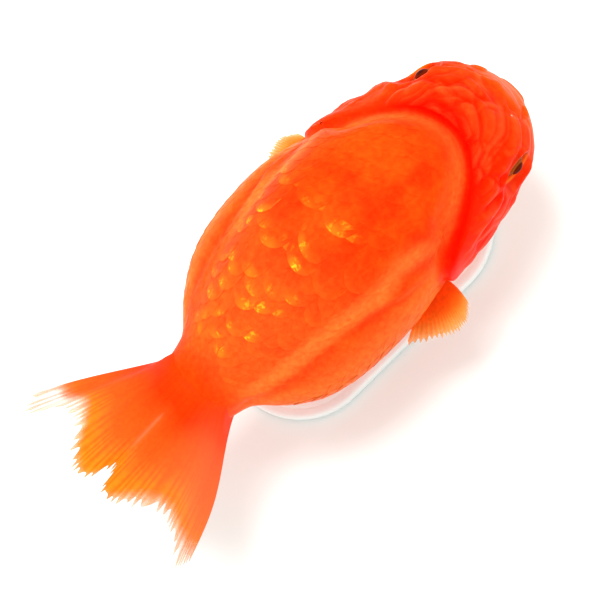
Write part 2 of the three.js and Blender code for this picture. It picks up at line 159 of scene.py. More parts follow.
# ---- Skin ---------------------------------------------------------------------------------------
# One skin covers the head, jaw, gill covers, trunk and tail stalk without a seam. It is thick, wet
# and soft; over the crown and cheeks it grows into the wen, a bed of rounded lobes in soft tiers.
SWAY_ROWS = [  # station behind the snout, how far left the middle lies
    (0, -1.5), (13, -1.2), (24, -0.5), (36, 0.5), (46, 1.1), (60, 1.2), (76, 0.7), (88, 0.1),
    (97, 0.0), (108, -0.1), (140, -0.4)]
HEAD_ROWS = [  # station behind the snout, top and underside above the base, half width
    (0, 64, 43.5, 14.2), (6, 68, 40.5, 15.6), (13, 70.3, 36.8, 17.6), (22, 71.2, 32.8, 20.8),
    (30, 71, 30.2, 23.0), (42, 70, 28, 25.2), (48, 69, 27, 25.4)]
HEAD_SQUARENESS = 2.5
SNOUT_ROUNDING = 12
TRUNK_ROWS = [  # station, back, underside, half width of the back, half width of the belly
    (12, 64, 39, 13.5, 11.0), (16, 67.5, 36.2, 16.5, 14.0), (20, 71.6, 33.9, 19.5, 17.5),
    (26, 75.6, 30.9, 21.2, 20.8), (34, 78.4, 28, 22.2, 22.8), (44, 79.8, 25.3, 22.4, 24.6),
    (55, 80, 24.6, 21.8, 26.8), (66, 78.4, 25.2, 20.4, 27.0), (76, 75, 28, 18.6, 25.9),
    (84, 70.8, 32.2, 16.6, 23.2), (91, 66.3, 37, 14.2, 18.4), (97, 62.5, 40.6, 12.0, 12.7),
    (103, 59.8, 42.2, 10.6, 10.6), (108, 58.4, 43.6, 9.4, 9.4), (113, 57.2, 47, 6.8, 6.8),
    (118, 56.4, 52, 3.0, 3.0)]
BACK_SQUARENESS = 2.3
BELLY_SQUARENESS = 2.1
BELLY_SHOULDER = 0.72
CREASE_SOFTNESS = 0.4
SPINE_ABOVE_BASE = 50
NAPE_CENTRE = 60
NAPE_LENGTH = 40.8
NAPE_HALF_WIDTH = 22.5
NAPE_SHIFT = -1.0
NAPE_LIP_DROP, NAPE_LIP_WIDTH = 3.0, 5.5
GILL_END = 43.5
GILL_ROUNDING = 5
GILL_ROUNDING_HEIGHT = 12
EDGE_CORNER = 1.2
HEAD_BLEND, THROAT_BLEND = 0.8, 6.8  # how far ahead of the nape the head has its own shape
# The crease along each flank, between the back and the belly: its angle over the middle, in degrees.
CREASE_ROWS = [(40, 16), (53, 24), (63, 32), (76, 33), (88, 26), (96, 16), (108, 8)]
CREASE_DEPTH = 0.55
COAT_DEPTH = 0.58
HEAD_RINGS_END = 48
STALK_END, STALK_END_HEIGHT = 117, 4.5

rng = np.random.default_rng(7)


def smoothstep(low, high, value):
    t = np.clip((value - low) / (high - low), 0, 1)
    return t * t * (3 - 2 * t)


def bell(value, middle, width):
    return np.exp(-(((value - middle) / width) ** 2))


def row_value(rows, column, station):
    """Smooth curve through one column of a table of rows."""
    table = np.array(rows, float)
    x, y = table[:, 0], table[:, column]
    slope = np.empty_like(y)
    slope[1:-1] = (y[2:] - y[:-2]) / (x[2:] - x[:-2])
    slope[0] = (y[1] - y[0]) / (x[1] - x[0])
    slope[-1] = (y[-1] - y[-2]) / (x[-1] - x[-2])
    i = np.clip(np.searchsorted(x, station) - 1, 0, len(x) - 2)
    span = x[i + 1] - x[i]
    t = np.clip((station - x[i]) / span, 0, 1)
    return ((2 * t**3 - 3 * t**2 + 1) * y[i] + (t**3 - 2 * t**2 + t) * span * slope[i]
            + (3 * t**2 - 2 * t**3) * y[i + 1] + (t**3 - t**2) * span * slope[i + 1])


def in_frame(station, left, above_spine):
    """Points in the part's frame, in millimetres, with the fish's gentle sway."""
    left = left + row_value(SWAY_ROWS, 1, station)
    return np.stack(np.broadcast_arrays(snout_x - station, left, spine_z + above_spine), -1)


def oval(angle, half_width, half_height, squareness):
    return (np.abs(np.cos(angle) / half_width) ** squareness
            + np.abs(np.sin(angle) / half_height) ** squareness) ** (-1 / squareness)


def head_radius(station, angle):
    nose = np.sqrt(1 - np.maximum(0, 1 - station / SNOUT_ROUNDING) ** 2)
    top = row_value(HEAD_ROWS, 1, station) - SPINE_ABOVE_BASE
    underside = SPINE_ABOVE_BASE - row_value(HEAD_ROWS, 2, station)
    half_height = np.where(np.sin(angle) > 0, top, underside)
    return nose * oval(angle, row_value(HEAD_ROWS, 3, station), half_height, HEAD_SQUARENESS)


def ahead_of_nape(station, left, above_spine):
    """Distance, in millimetres, ahead of the edge of the nape and gill covers, or less than 0."""
    from_middle = above_spine / GILL_ROUNDING_HEIGHT
    rounding = np.minimum(GILL_ROUNDING * from_middle**2, 1.6 * GILL_ROUNDING)
    slide = np.where(from_middle < 0, rounding, 0)
    forwards = np.maximum(0, NAPE_CENTRE - slide - station) / NAPE_LENGTH
    sideways = (left - NAPE_SHIFT) / NAPE_HALF_WIDTH
    reach = np.hypot(forwards, sideways)
    steepness = np.maximum(np.hypot(forwards / NAPE_LENGTH, sideways / NAPE_HALF_WIDTH), 1e-6)
    off_nape = (reach - 1) * reach / steepness
    off_gill = GILL_END - rounding - station
    return -EDGE_CORNER * np.logaddexp(-off_nape / EDGE_CORNER, -off_gill / EDGE_CORNER)


def from_crease(station, angle, radius):
    """Distance over the flank's crease, and how strong the crease is there."""
    over_middle = np.arctan2(np.sin(angle), np.abs(np.cos(angle)))
    away = (over_middle - np.radians(row_value(CREASE_ROWS, 1, station))) * radius
    return away, smoothstep(42, 54, station) * smoothstep(104, 92, station)


def coat_radius(station, angle):
    """Radius of the trunk over its scales, with the lip of the back bent down to the nape."""
    top = row_value(TRUNK_ROWS, 1, station) - SPINE_ABOVE_BASE
    underside = SPINE_ABOVE_BASE - row_value(TRUNK_ROWS, 2, station)
    upward = np.sin(angle) > 0
    back = oval(angle, row_value(TRUNK_ROWS, 3, station), np.where(upward, top, underside),
                BACK_SQUARENESS)
    belly = oval(angle, row_value(TRUNK_ROWS, 4, station),
                 np.where(upward, top * BELLY_SHOULDER, underside), BELLY_SQUARENESS)
    radius = np.maximum(back, belly) + CREASE_SOFTNESS * np.log1p(
        np.exp(-np.abs(back - belly) / CREASE_SOFTNESS))
    ahead = ahead_of_nape(station, radius * np.cos(angle), radius * np.sin(angle))
    lip = smoothstep(-NAPE_LIP_WIDTH, -0.2, ahead) * smoothstep(0.1, 0.6, np.sin(angle))
    radius = radius - NAPE_LIP_DROP * lip**1.5
    away, creased = from_crease(station, angle, radius)
    fold = 0.6 * bell(away, 3.0, 2.0) - bell(away, 0, 1.5) + 0.15 * bell(away, -4, 2.5)
    return radius + CREASE_DEPTH * creased * fold


def coat_point(station, angle):
    radius = coat_radius(station, angle)
    return in_frame(station, radius * np.cos(angle), radius * np.sin(angle))


def body_point(station, angle):
    """The bare body: the head ahead of the nape, and the trunk under its scales behind it."""
    trunk = coat_radius(station, angle)
    ahead = ahead_of_nape(station, trunk * np.cos(angle), trunk * np.sin(angle))
    throat = smoothstep(-0.3, -0.8, np.sin(angle))
    blend_end = HEAD_BLEND + (THROAT_BLEND - HEAD_BLEND) * throat
    on_head = np.where(station > HEAD_RINGS_END - 3, 0, smoothstep(-0.6, blend_end, ahead))
    trunk = trunk - COAT_DEPTH
    radius = trunk + (head_radius(station, angle) - trunk) * on_head
    return in_frame(station, radius * np.cos(angle), radius * np.sin(angle))


def normals_of(surface, station, angle):
    """Outward directions of a surface given as a function of station and angle."""
    step, turn = 0.05, 0.0025
    along = surface(station + step, angle) - surface(np.maximum(station - step, 1e-4), angle)
    around = surface(station, angle + turn) - surface(station, angle - turn)
    normal = np.cross(along, around)
    return normal / np.maximum(np.linalg.norm(normal, axis=-1, keepdims=True), 1e-9)


def strew(gap):
    """Seeds of folds on the head's surface, none nearer to another than the gap."""
    kept = np.empty((0, 3))
    stations = WEN_START + (WEN_END - WEN_START) * rng.random(SEED_TRIES)
    angles = 2 * np.pi * rng.random(SEED_TRIES)
    for seed in fold_place(body_point(stations, angles)):
        if len(kept) == 0 or np.min(np.linalg.norm(kept - seed, axis=1)) > gap:
            kept = np.vstack([kept, seed])
    return kept


WEN_FRONT_CENTRE, WEN_FRONT_LENGTH, WEN_FRONT_HALF_WIDTH = 22, 22, 20
FOLD_NARROWING, FOLD_STRETCH, FOLD_CENTRE, FOLD_OUTLINE = 1.35, 0.66, 36, 24
FOLD_WANDER, FOLD_RIPPLE = 0.8, 0.5


def behind_outline(station, left):
    """How far a spot lies behind the outline of the snout and cheeks, seen from above."""
    forwards = np.maximum(WEN_FRONT_CENTRE - station, 0) / WEN_FRONT_LENGTH
    return WEN_FRONT_LENGTH * (1 - np.hypot(forwards, left / WEN_FRONT_HALF_WIDTH))


def fold_place(points):
    """Points laid out so that a round cushion there is a fold that follows the snout's outline."""
    station = snout_x - points[:, 0]
    left = points[:, 1] - row_value(SWAY_ROWS, 1, station)
    bearing = np.arctan2(left, np.maximum(FOLD_CENTRE - station, 0.01))
    round_outline = FOLD_OUTLINE * bearing + np.sign(left) * np.maximum(station - FOLD_CENTRE, 0)
    place = np.stack([FOLD_NARROWING * behind_outline(station, left), FOLD_STRETCH * round_outline,
                      points[:, 2]], 1)
    wander = np.sin(0.62 * station[:, None] + 0.48 * left[:, None] * [1, -1, 0.4] + [0, 2, 4])
    ripple = np.sin(0.9 * points[:, 2:] + [1, 3, 5])
    return place + FOLD_WANDER * wander + FOLD_RIPPLE * ripple


def cushions(points, seeds, radius):
    """Rounded cushions, some fuller, that the seeds grow into: their height from 0 to about 1, the
    distance to the next cushion, and how far forwards on its own cushion each point is."""
    fullness = 0.3 * radius**2 * rng.random(len(seeds))
    nearest = np.full(len(points), 1e9)
    second = np.full(len(points), 1e9)
    own = np.zeros(len(points), int)
    other = np.zeros(len(points), int)
    for k, seed in enumerate(seeds):
        reach = np.sum((points - seed) ** 2, axis=1) - fullness[k]
        closer = reach < nearest
        next_closer = ~closer & (reach < second)
        second = np.where(closer, nearest, np.where(next_closer, reach, second))
        other = np.where(closer, own, np.where(next_closer, k, other))
        nearest = np.where(closer, reach, nearest)
        own = np.where(closer, k, own)
    apart = np.maximum(np.linalg.norm(seeds[own] - seeds[other], axis=1), 0.1)
    forwards = (seeds[own, 0] - points[:, 0]) / radius
    return np.maximum(0.75 - nearest / radius**2, 0), (second - nearest) / (2 * apart), forwards


HEAD_RINGS, HEAD_AROUND = 188, 400
TRUNK_RINGS, TRUNK_AROUND = 120, 200
head_stations = HEAD_RINGS_END * (np.arange(1, HEAD_RINGS + 1) / HEAD_RINGS) ** 1.8
trunk_stations = HEAD_RINGS_END + (STALK_END - HEAD_RINGS_END) * (
    np.arange(1, TRUNK_RINGS + 1) / TRUNK_RINGS)


def ring_grid(stations, around):
    station, angle = np.meshgrid(stations, np.arange(around) / around * 2 * np.pi, indexing="ij")
    return station.ravel(), angle.ravel()


station_all, angle_all = np.concatenate(
    [ring_grid(head_stations, HEAD_AROUND), ring_grid(trunk_stations, TRUNK_AROUND)], axis=1)
plain = body_point(station_all, angle_all)
normals = normals_of(body_point, station_all, angle_all)
sway_all = row_value(SWAY_ROWS, 1, station_all)
left_all = plain[:, 1] - sway_all
up_all = plain[:, 2] - spine_z
ahead = ahead_of_nape(station_all, left_all, up_all)
upness = np.sin(angle_all)

LOBE_SIZES = [(6.2, 5.6, 1.5), (3.3, 3.0, 0.4), (2.0, 1.8, 0.24)]  # gap, radius, height
LAPPED_GAP, LAP_HEIGHT = 3, 0.075  # the larger lobes lap over the ones in front of them
WEN_LEVEL = -1.05  # of the creases between the lobes
SEED_TRIES, WEN_START, WEN_END = 6000, 1, 44
# The wen grows over the crown and cheeks, and fades to the muzzle, chin and nape trough.
wen_edge = 0.6 + 2.6 * smoothstep(0.92, 0.6, upness)
wen_reach = (smoothstep(0, 2.0, ahead - wen_edge) * smoothstep(-0.75, -0.2, upness)
             * smoothstep(3, 8, station_all + 3 * smoothstep(0.2, 0.9, upness)))
head_part = ahead > 0
folded = fold_place(plain[head_part])
height = np.full(len(plain), WEN_LEVEL)
fold_line = np.zeros(len(plain))
fold_crease = np.zeros(len(plain))
for gap, radius, rise in LOBE_SIZES:
    seeds = strew(gap)
    swell, to_next, forwards = cushions(folded, seeds, radius)
    height[head_part] += rise * swell
    if gap > LAPPED_GAP:
        height[head_part] += LAP_HEIGHT * gap * forwards * smoothstep(0, 0.36 * gap, to_next)
        # A thin painted highlight along the crest of each larger fold, where it laps over the next.
        line = bell(to_next, 0.21 * gap, 0.15 * gap) * smoothstep(-0.1, 0.5, forwards)
        line *= (gap / LOBE_SIZES[0][0]) ** 1.5
        fold_line[head_part] = np.maximum(fold_line[head_part], line)
        # Painted shade down the crease between neighbouring folds.
        fold_crease[head_part] = np.maximum(fold_crease[head_part], bell(to_next, 0, 0.08 * gap))
height *= wen_reach * (0.7 + 0.3 * smoothstep(0.1, 0.7, upness))

# Tiers: soft ridges that follow the outline of the snout, one behind the muzzle and one over the
# crown, both a little wavy.
behind_snout = behind_outline(station_all, left_all)
on_crown = smoothstep(0.35, 0.75, upness) * smoothstep(2, 5, ahead) * smoothstep(21, 14, station_all)
TIERS = [(4.6, 0.5, 0.7, 7.3), (10.6, 0.45, 0.8, 5.1)]  # distance, height, width, waviness
for distance, rise, width, waves in TIERS:
    line = distance + 0.7 * np.sin(left_all / 20 * waves + distance)
    tier = rise * (bell(behind_snout, line, width) - 0.55 * bell(behind_snout, line + 1.6, width))
    height += tier * on_crown

# The trough behind the wen, and the groove behind each gill cover.
TROUGH_DEPTH, GILL_GROOVE_DEPTH = 0.7, 0.35
beside = smoothstep(0.3, -0.1, upness) * smoothstep(-0.9, -0.5, upness)
height -= TROUGH_DEPTH * bell(ahead, 0.8, 1.0) * smoothstep(-0.2, 0.5, upness)
height -= GILL_GROOVE_DEPTH * bell(ahead, -0.5, 0.5) * beside

# Mouth: two soft lips round a short level slit, low on the snout, over a chin crease. Nostrils: two
# small pits with a raised edge.
MOUTH_ABOVE_SPINE, MOUTH_HALF_WIDTH, MOUTH_END, MOUTH_DROOP = -1.8, 4.2, 1.4, 0.03
LIP_HEIGHT, LIP_OFFSET, MOUTH_SLIT_DEPTH, CHIN_CREASE_DEPTH, CHIN_DROP = 0.7, 1.5, 1.0, 0.5, 4.4
NOSTRIL_LEFT, NOSTRIL_ABOVE_SPINE, NOSTRIL_EDGE_HEIGHT, NOSTRIL_DEPTH = 7.6, 7.2, 0.4, 1.3
SNOUT_FRONT, FAR_AWAY = 14, 50
from_middle = np.abs(left_all)
at_front = smoothstep(7, 4, station_all)
mouth_ends = smoothstep(MOUTH_HALF_WIDTH + MOUTH_END, MOUTH_HALF_WIDTH - MOUTH_END, from_middle) * at_front
from_mouth = up_all - MOUTH_ABOVE_SPINE + MOUTH_DROOP * left_all**2
height += mouth_ends * LIP_HEIGHT * bell(np.abs(from_mouth), LIP_OFFSET, 1.0)
height -= mouth_ends * MOUTH_SLIT_DEPTH * bell(from_mouth, 0, 0.45)
height -= CHIN_CREASE_DEPTH * at_front * bell(from_mouth, -CHIN_DROP, 0.9) * smoothstep(7.5, 5, from_middle)
from_nostril = np.hypot(from_middle - NOSTRIL_LEFT, up_all - NOSTRIL_ABOVE_SPINE)
from_nostril += FAR_AWAY * (station_all > SNOUT_FRONT)
height += NOSTRIL_EDGE_HEIGHT * bell(from_nostril, 1.5, 0.5) - NOSTRIL_DEPTH * bell(from_nostril, 0, 0.8)
skin_points = plain + normals * height[:, None]

# Eyes: the skin sinks to a round opening with a soft rim, and dips under the eyeball. A heavy lobe
# of the wen hangs behind and above each.
EYE_RADIUS = (eye_high.z - eye_low.z) / 2 / MM
SIDES = {"left": 1, "right": -1}
EYE_OPENING, EYE_REACH = 3.75, 9
EYE_UP = {"left": math.radians(38), "right": 0.0}
EYE_FORWARD = math.radians(8)
BROW_BEHIND, BROW_INWARDS, BROW_ABOVE, BROW_RADIUS, BROW_HEIGHT = 3.0, 2.0, 5.9, 5.6, 1.3
RIM_ABOVE_BALL, RIM_HEIGHT, BALL_CLEARANCE = 0.35, 0.35, 1.3


def eye_centre(side):
    low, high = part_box("eye_" + side)
    return np.array((low + high) / 2 / MM)


def eye_axis(side):
    level = math.cos(EYE_UP[side])
    return np.array([level * math.sin(EYE_FORWARD), SIDES[side] * level * math.cos(EYE_FORWARD),
                     math.sin(EYE_UP[side])])


near_eye = np.zeros(len(skin_points))
brow_shading = np.zeros(len(skin_points))
for side in SIDES:
    axis = eye_axis(side)
    centre = eye_centre(side)
    brow = centre + np.array([-BROW_BEHIND, -BROW_INWARDS * SIDES[side], BROW_ABOVE])
    from_brow = np.linalg.norm(skin_points - brow, axis=1)
    swell = np.clip(1 - (from_brow / BROW_RADIUS) ** 2, 0, 1)
    skin_points += normals * (BROW_HEIGHT * swell)[:, None]
    offset = skin_points - centre
    out = offset @ axis
    across = np.linalg.norm(offset - out[:, None] * axis, axis=1)
    near = (out > 0) & (across < EYE_REACH)
    rim_level = math.sqrt(EYE_RADIUS**2 - EYE_OPENING**2) + RIM_ABOVE_BALL
    ceiling = rim_level + 0.55 * np.maximum(across - EYE_OPENING, 0)
    soft = smoothstep(8.0, 4.6, across)
    lowered = out - soft * np.maximum(out - ceiling, 0)
    lowered += bell(across, EYE_OPENING + 0.8, 0.9) * np.clip(rim_level + 0.3 - lowered, 0, 2)
    under_ball = np.sqrt(np.maximum(EYE_RADIUS**2 - across**2, 0)) - BALL_CLEARANCE
    inside = 1 - smoothstep(EYE_OPENING - 0.35, EYE_OPENING + 0.15, across)
    level = lowered + inside * (under_ball - lowered)
    skin_points += np.where(near, level - out, 0)[:, None] * axis
    rim = RIM_HEIGHT * bell(across, EYE_OPENING + 0.6, 0.45)
    skin_points += np.where(near, rim, 0)[:, None] * axis
    outer = smoothstep(0.5, -2.0, offset[:, 2])
    edge = bell(across, EYE_OPENING + 0.5, 0.4) * outer
    near_eye = np.maximum(near_eye, np.where(near, edge, 0))
    # A painted brown shadow under the brow, over the upper side of the eye's rim.
    shaded = smoothstep(EYE_OPENING + 3.2, EYE_OPENING + 0.2, across) * (1 - outer)
    brow_shading = np.maximum(brow_shading, np.where(near, shaded, 0))

# Faces: rings joined end to end, closed by a point at the snout and another at the stalk's end.
front_tip = in_frame(0, 0, 0)[None]
back_tip = in_frame(STALK_END + 0.8, 0, STALK_END_HEIGHT)[None]
points = np.vstack([skin_points, front_tip, back_tip])
front_index, back_index = len(skin_points), len(skin_points) + 1


def ring_faces(first, around, rings):
    """Quads between rings of points, whose rings follow one another in the list."""
    i = np.arange(around)
    j = (i + 1) % around
    starts = first + around * np.arange(rings - 1)[:, None]
    quads = np.stack([starts + i, starts + around + i, starts + around + j, starts + j], -1)
    return quads.reshape(-1, 4).tolist()


faces = ring_faces(0, HEAD_AROUND, HEAD_RINGS)
faces += [(front_index, k, (k + 1) % HEAD_AROUND) for k in range(HEAD_AROUND)]
first_trunk = HEAD_RINGS * HEAD_AROUND
last_head = first_trunk - HEAD_AROUND
for k in range(TRUNK_AROUND):
    corner = [last_head + (2 * k + step) % HEAD_AROUND for step in range(3)]
    low, high = first_trunk + k, first_trunk + (k + 1) % TRUNK_AROUND
    faces += [(corner[0], low, corner[1]), (corner[1], low, high), (corner[1], high, corner[2])]
faces += ring_faces(first_trunk, TRUNK_AROUND, TRUNK_RINGS)
last_trunk = first_trunk + (TRUNK_RINGS - 1) * TRUNK_AROUND
for k in range(TRUNK_AROUND):
    faces.append((back_index, last_trunk + (k + 1) % TRUNK_AROUND, last_trunk + k))


def add_field(piece, name, values):
    """Stores one number for each point of a mesh, for its material to read."""
    field = piece.data.attributes.new(name, "FLOAT", "POINT")
    field.data.foreach_set("value", np.asarray(values, np.float32))


def flesh_fields(piece, point):
    """Where the flesh is red wen, trough and flank crease with painted shade, muzzle, or pale belly with
    painted highlights, stored on a piece's points.
    """
    station = snout_x - point[:, 0]
    left = point[:, 1] - row_value(SWAY_ROWS, 1, station)
    up = point[:, 2] - spine_z
    angle = np.arctan2(up, left)
    upness = np.sin(angle)
    ahead = ahead_of_nape(station, left, up)
    over_chin = smoothstep(-0.95, -0.3, upness)
    on_head = smoothstep(47, 44, station) * over_chin
    softness = 0.8 + 3.5 * smoothstep(0.1, -0.6, upness)
    add_field(piece, "wen_red", smoothstep(-softness, softness, ahead) * on_head)
    muzzle = smoothstep(13, 2, station + 3.5 * upness)
    # The muzzle's paler colour is also laid over the head's left side, under the lamp, as a painted
    # highlight.
    add_field(piece, "muzzle", np.maximum(muzzle, 0.28 * smoothstep(8, 20, left) * on_head))
    away, creased = from_crease(station, angle, np.hypot(up, left))
    # The flank crease, like the trough behind the wen, gets painted shade.
    crease = 0.25 * smoothstep(47, 49, station) * creased * bell(away, -0.3, 1.2)
    add_field(piece, "trough", np.maximum(bell(ahead, 1.6, 2.2) * on_head, crease))
    behind = np.maximum(smoothstep(-1, -4, ahead), 1 - over_chin)
    # The pale belly is made paler still over the left side, under the lamp: painted light.
    leftward = 0.7 + 0.35 * smoothstep(0, 12, left)
    flank = leftward * smoothstep(0.62, 0.18, upness) * behind * smoothstep(112, 96, station)
    shoulder = smoothstep(62, 47, station)
    # A painted highlight band along the ridge above the flank crease, and below it a painted highlight on
    # the dome's front rim.
    ridge = 0.75 * np.maximum(creased, shoulder * smoothstep(36, 46, station))
    ridge *= bell(away, 4.0 + 7.0 * shoulder, 3.6)
    ridge *= 1 - 0.6 * smoothstep(66, 78, station) * smoothstep(2, 8, left)
    lip = 0.5 * bell(ahead, -1.6, 1.6) * smoothstep(0.2, 0.6, upness)
    rear = 0.26 * smoothstep(50, 85, station) * smoothstep(106, 94, station)
    add_field(piece, "pale", np.maximum(np.maximum(flank, ridge) + lip, rear))
    right_side = smoothstep(0, -8, left)
    add_field(piece, "stalk", smoothstep(94, 106, station) * (1 - 0.35 * right_side))


skin = new_piece("skin", points, faces)
flesh_fields(skin, points)
for name, values in (("eye_rim", near_eye), ("eye_lid", brow_shading), ("fold_line", fold_line * wen_reach),
                     ("fold_crease", fold_crease * wen_reach)):
    add_field(skin, name, np.append(values, [0, 0]))
# crest: how high the wen stands, which the skin's material turns into a painted highlight on the lobes'
# crests.
add_field(skin, "crest", np.append(np.clip(0.5 + height / 2.2, 0, 1), [0.5, 0.5]))


def colour(red, green, blue):
    """A colour given as a painter's screen values from 0 to 255, for a shader."""
    def linear(value):
        value /= 255
        return value / 12.92 if value <= 0.04045 else ((value + 0.055) / 1.055) ** 2.4
    return (linear(red), linear(green), linear(blue), 1)


def blend(add, amount, first, second, way="MIX"):
    """Mixes two colours in a material by an amount from 0 to 1."""
    settings = {"data_type": "RGBA", "blend_type": way}
    return add("Mix", settings, i0=amount, i6=first, i7=second).outputs[2]


def field_value(add, name):
    return add("Attribute", {"attribute_name": name}).outputs["Fac"]


def times(add, first, second):
    return add("Math", {"operation": "MULTIPLY"}, i0=first, i1=second).outputs[0]


def stain(add, tone, field, amount, paint):
    """Lays a colour over a tone where a field on the mesh calls for it, up to an amount."""
    return blend(add, times(add, field_value(add, field), amount), tone, colour(*paint))


def spread(add, value, low, high, to_low=0.0, to_high=1.0, soft=False):
    """Stretches a value from one range to another and holds it at the ends."""
    settings = {"interpolation_type": "SMOOTHSTEP" if soft else "LINEAR"}
    return add("MapRange", settings, Value=value, From_Min=low, From_Max=high, To_Min=to_low,
               To_Max=to_high).outputs[0]


def noise(add, coordinates, scale, detail, *levels):
    """Random clouds from 0 to 1, stretched between levels where these are given."""
    clouds = add("TexNoise", Vector=coordinates, Scale=scale, Detail=detail).outputs["Fac"]
    return spread(add, clouds, *levels) if levels else clouds


def bumps(add, height, strength, distance):
    """Relief too fine for the mesh, for a shader's normal."""
    return add("Bump", Strength=strength, Distance=distance, Height=height).outputs[0]


def flesh_colour(add):
    """Orange body and red wen, with painted shade in the trough and flank crease, paler on muzzle and
    belly, painted highlights on the flank ridge, the dome's rim and the left side, softly mottled.
    """
    coordinates = add("TexCoord").outputs["Object"]
    blotch = noise(add, coordinates, 110.0, 3.0, 0.35, 0.65)
    body = blend(add, blotch, colour(252, 46, 5), colour(254, 70, 9))
    # pale: a paler belly, with painted highlights on the flank ridge, the dome's rim and the lamp-lit left
    # side.
    body = stain(add, body, "pale", 1.0, (254, 120, 48))
    body = stain(add, body, "stalk", 1.0, (254, 58, 3))
    bloom = noise(add, coordinates, 330.0, 3.0, 0.5, 0.7, 0.0, 0.4)
    wen = blend(add, blotch, colour(244, 22, 0), colour(250, 36, 0))
    wen = blend(add, bloom, wen, colour(255, 84, 30))
    flesh = blend(add, field_value(add, "wen_red"), body, wen)
    # Painted shade, deep red, in the trough behind the wen and along the flank crease.
    flesh = stain(add, flesh, "trough", 1.0, (250, 14, 0))
    # The muzzle's paler orange, which over the left cheek is painted light.
    flesh = stain(add, flesh, "muzzle", 0.8, (253, 98, 20))
    mottle = noise(add, coordinates, 800.0, 4.0, 0.35, 0.7)
    spots = blend(add, mottle, (1, 0.78, 0.7, 1), (1, 1.16, 1.2, 1))
    return blend(add, 1.0, flesh, spots, "MULTIPLY"), coordinates


# Painted highlights on the wen's crests and fold lines, painted shade in its creases, an orange rim and a
# painted brown shadow under the brow round each eye, and a few small painted white glints.
FLESH_SCATTER = (1.0, 0.25, 0.1)
add, finish = new_material("wet_skin")
tone, coordinates = flesh_colour(add)
# A painted highlight on the wen's crests, from the crest field.
crest_highlight = spread(add, field_value(add, "crest"), 0.35, 1.0, soft=True)
crest_highlight = times(add, times(add, crest_highlight, field_value(add, "wen_red")), 0.28)
tone = blend(add, crest_highlight, tone, colour(255, 84, 26))
# A painted highlight along the fold crests.
tone = stain(add, tone, "fold_line", 0.36, (255, 92, 40))
# Painted shade in the creases between folds.
tone = stain(add, tone, "fold_crease", 0.32, (214, 12, 0))
tone = stain(add, tone, "eye_rim", 0.7, (254, 122, 16))
# A painted brown shadow under each brow.
tone = stain(add, tone, "eye_lid", 0.55, (150, 40, 8))
# A few small white flecks: painted highlights of the wet skin.
cells = add("TexVoronoi", Vector=coordinates, Scale=150.0)
glint_fleck = spread(add, cells.outputs["Distance"], 0.03, 0.055, 1.0, 0.0)
glinting_cell = spread(add, cells.outputs["Color"], 0.62, 0.64)
tone = blend(add, times(add, glint_fleck, glinting_cell), tone, colour(255, 214, 190))
pores = noise(add, coordinates, 2600.0, 3.0)
skin.data.materials.append(finish(add(
    "BsdfPrincipled", Base_Color=tone, Roughness=0.36, Specular_IOR_Level=0.02,
    Specular_Tint=(1, 0.5, 0.25, 1), Subsurface_Weight=0.35, Subsurface_Scale=0.0025,
    Subsurface_Radius=FLESH_SCATTER, Normal=bumps(add, pores, 0.25, 0.0002))))
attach(skin, "root")
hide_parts("head", "wen_crown", "lower_jaw", "gill_cover_left", "gill_cover_right",
            "trunk", "tail_stalk")

# ---- Scales -------------------------------------------------------------------------------------
# Thin round-backed plates lie in staggered rings over the trunk, rooted in the skin and free at the tail
# end. They are sunk in the fat dome's front and plainest on the mid back, where some glint: the glints and
# the pale rims are painted highlights.
SCALE_LENGTH = 6.6
SCALE_THICKNESS = 0.07
SCALE_RING_STEP = 2.05
SCALE_FIRST_STATION = 20.5
SCALE_LAST_STATION = 98
SCALES_AROUND = [(78, 20), (86, 17), (92, 15), (120, 12)]  # up to a station, scales in a ring
SCALE_ACROSS, SCALE_ALONG = 15, 7  # points over a scale
SCALE_FILL = 1.04
SCALE_SUNK, SCALE_SLOPE, LOOSE_SLOPE = 0.62, 0.18, 0.4
GLINT_START, GLINT_END, GLINT_LUCK = 46, 88, 0.52


def sheet_faces(across, out):
    """Faces of a thin closed sheet: a grid of points, the same again below it, and a rim."""
    corner = (out * np.arange(across - 1)[:, None] + np.arange(out - 1)).ravel()
    top = np.stack([corner, corner + 1, corner + out + 1, corner + out], 1)
    rim = np.concatenate([
        out * np.arange(across - 1), out * (across - 1) + np.arange(out - 1),
        out * np.arange(across - 1, 0, -1) + out - 1, np.arange(out - 1, 0, -1)])
    there = np.roll(rim, -1)
    below = across * out
    sides = np.stack([rim, there, there + below, rim + below], 1)
    return np.vstack([top, top[:, ::-1] + below, sides])


scale_u = np.linspace(-1, 1, SCALE_ACROSS)
scale_v = np.linspace(0, 1, SCALE_ALONG) ** 0.8
grid_u, grid_v = np.meshgrid(scale_u, scale_v, indexing="ij")
grid_u, grid_v = grid_u.ravel(), grid_v.ravel()
scale_reach = 0.32 + 0.68 * np.sqrt(np.clip(1 - grid_u**2, 0, 1)) ** 0.9
scale_faces = sheet_faces(SCALE_ACROSS, SCALE_ALONG)

# Each scale's patch on the unwrap of the skin: along it by station, and round it by angle.
PATCH_LENGTH, PATCH_WIDTH, UNDERSIDE_STRIP = 0.016, 0.09, 0.002

